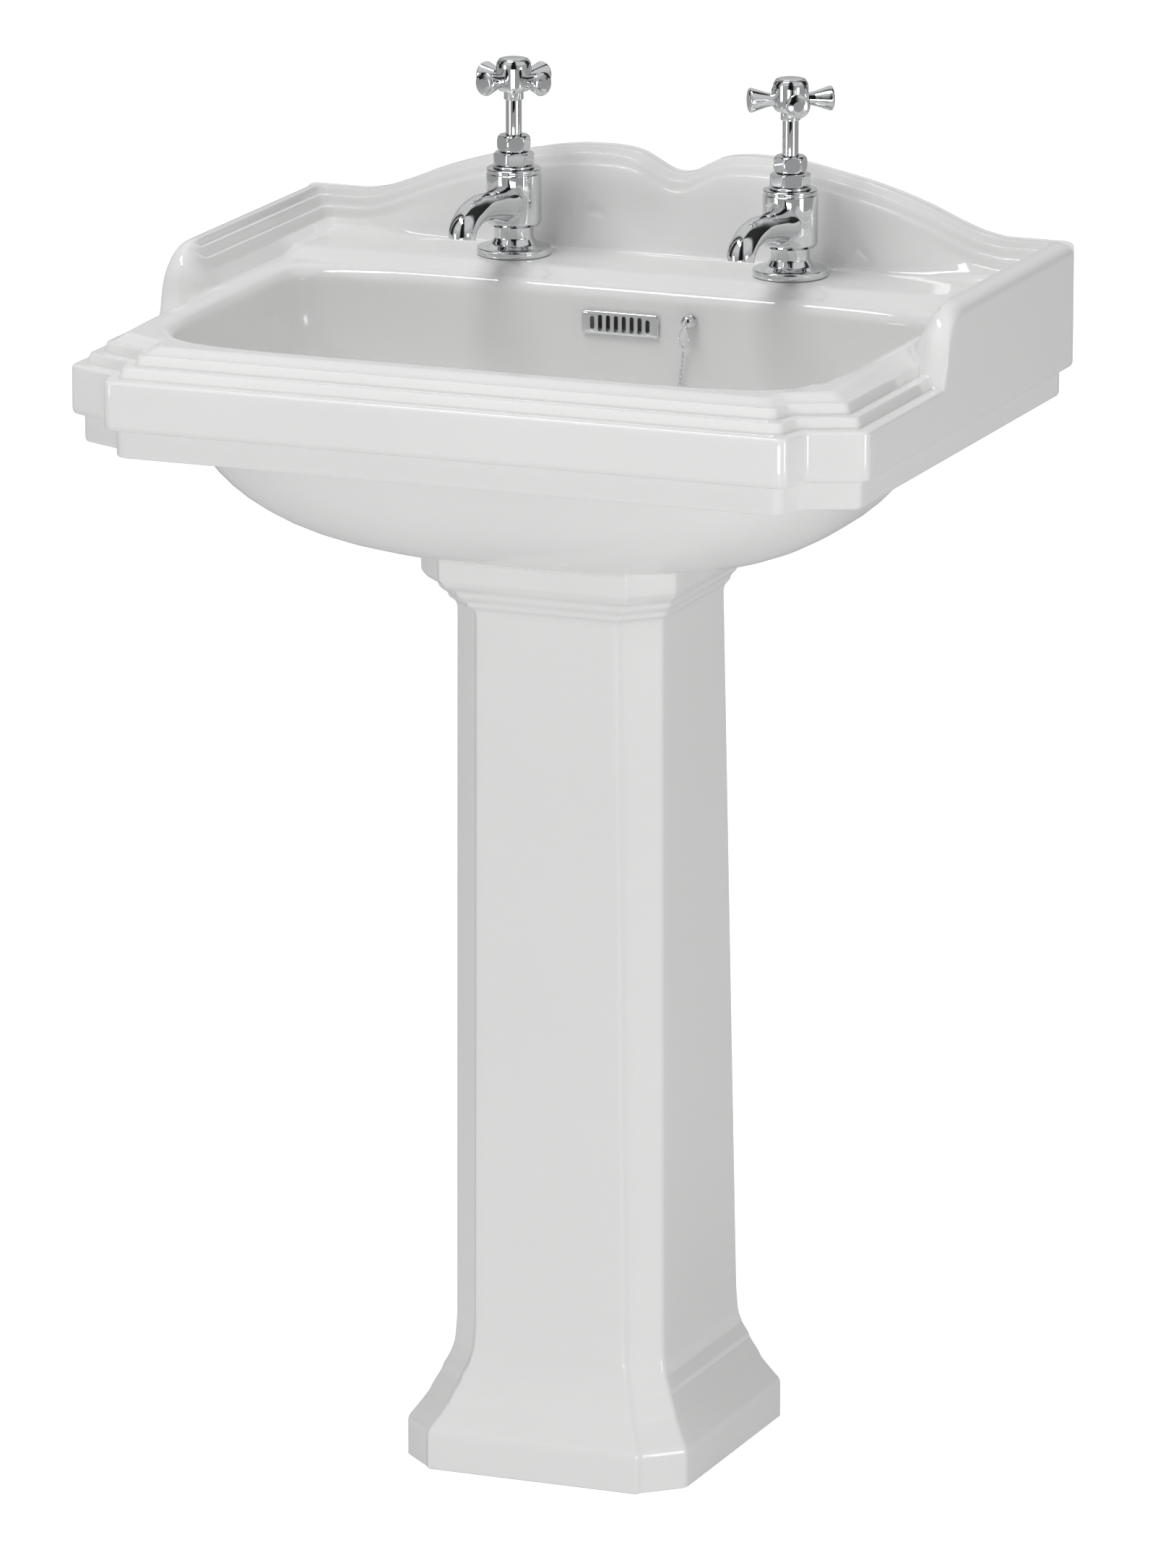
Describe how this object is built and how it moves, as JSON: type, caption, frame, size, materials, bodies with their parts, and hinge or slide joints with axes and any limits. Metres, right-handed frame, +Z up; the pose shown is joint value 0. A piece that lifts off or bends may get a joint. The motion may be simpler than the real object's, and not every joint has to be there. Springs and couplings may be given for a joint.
{
  "type": "pedestal basin",
  "caption": "Wash basin on a pedestal in white glazed ceramic, with a shaped splashback, cross-head pillar taps, an overflow, a plug on a chain and a bottle trap.",
  "frame": {"origin": "on the floor, under the middle of the basin's box, so the wall is at y = +0.2175 m", "axes": "+X to the user's right, -Y to the front, +Z up"},
  "size_m": [0.56, 0.435, 0.9304],
  "materials": {
    "white_glaze": "clear gloss glaze over vitreous china",
    "chrome": "polished",
    "brass": "machined",
    "rubber": "matt",
    "white_plastic": "moulded satin"
  },
  "bodies": {
    "basin_set": {"basin": "white_glaze", "pedestal": "white_glaze", "tap_left_body": "chrome", "tap_left_gasket": "rubber", "tap_left_washer": "white_plastic", "tap_left_backnut": "brass", "tap_left_bonnet": "chrome", "tap_left_gland_nut": "chrome", "tap_right_body": "chrome", "tap_right_gasket": "rubber", "tap_right_washer": "white_plastic", "tap_right_backnut": "brass", "tap_right_bonnet": "chrome", "tap_right_gland_nut": "chrome", "waste_top_washer": "rubber", "waste_body": "chrome", "waste_bottom_washer": "rubber", "waste_backnut": "brass", "overflow_grille": "chrome", "chain_stay": "chrome", "chain_stay_nut": "brass", "chain_bow": "chrome", "chain": "chrome", "trap_inlet_washer": "rubber", "trap_inlet_nut": "white_plastic", "trap_body": "white_plastic", "trap_cup_seal": "rubber", "trap_cup": "white_plastic", "trap_outlet_nut": "white_plastic", "waste_pipe": "white_plastic"},
    "left_jumper": {"tap_left_jumper": "brass", "tap_left_seat_washer": "rubber"},
    "left_head": {"tap_left_spindle": "chrome", "tap_left_handle": "chrome", "tap_left_handle_screw": "brass", "tap_left_index": "chrome"},
    "right_jumper": {"tap_right_jumper": "brass", "tap_right_seat_washer": "rubber"},
    "right_head": {"tap_right_spindle": "chrome", "tap_right_handle": "chrome", "tap_right_handle_screw": "brass", "tap_right_index": "chrome"},
    "plug": {"plug": "chrome", "plug_seal": "rubber", "plug_ring": "chrome"}
  },
  "joints": [
    {"name": "left_jumper_rise", "type": "slide", "parent": "basin_set", "child": "left_jumper", "axis": [0, 0, 1], "range_m": [0, 0.00626]},
    {"name": "left_head_turn", "type": "hinge", "parent": "left_jumper", "child": "left_head", "pos_m": [-0.1, 0.1515, 0.9], "axis": [0, 0, 1], "range_deg": [0, 900]},
    {"name": "right_jumper_rise", "type": "slide", "parent": "basin_set", "child": "right_jumper", "axis": [0, 0, 1], "range_m": [0, 0.00626]},
    {"name": "right_head_turn", "type": "hinge", "parent": "right_jumper", "child": "right_head", "pos_m": [0.1, 0.1515, 0.9], "axis": [0, 0, 1], "range_deg": [0, 900]},
    {"name": "plug_lift", "type": "slide", "parent": "basin_set", "child": "plug", "axis": [0, 0, 1], "range_m": [0, 0.06], "deforming": ["chain"]}
  ],
  "couplings": [
    {"joint": "left_jumper_rise", "follows": "left_head_turn", "m_per_rad": 0.00039789},
    {"joint": "right_jumper_rise", "follows": "right_head_turn", "m_per_rad": 0.00039789}
  ]
}
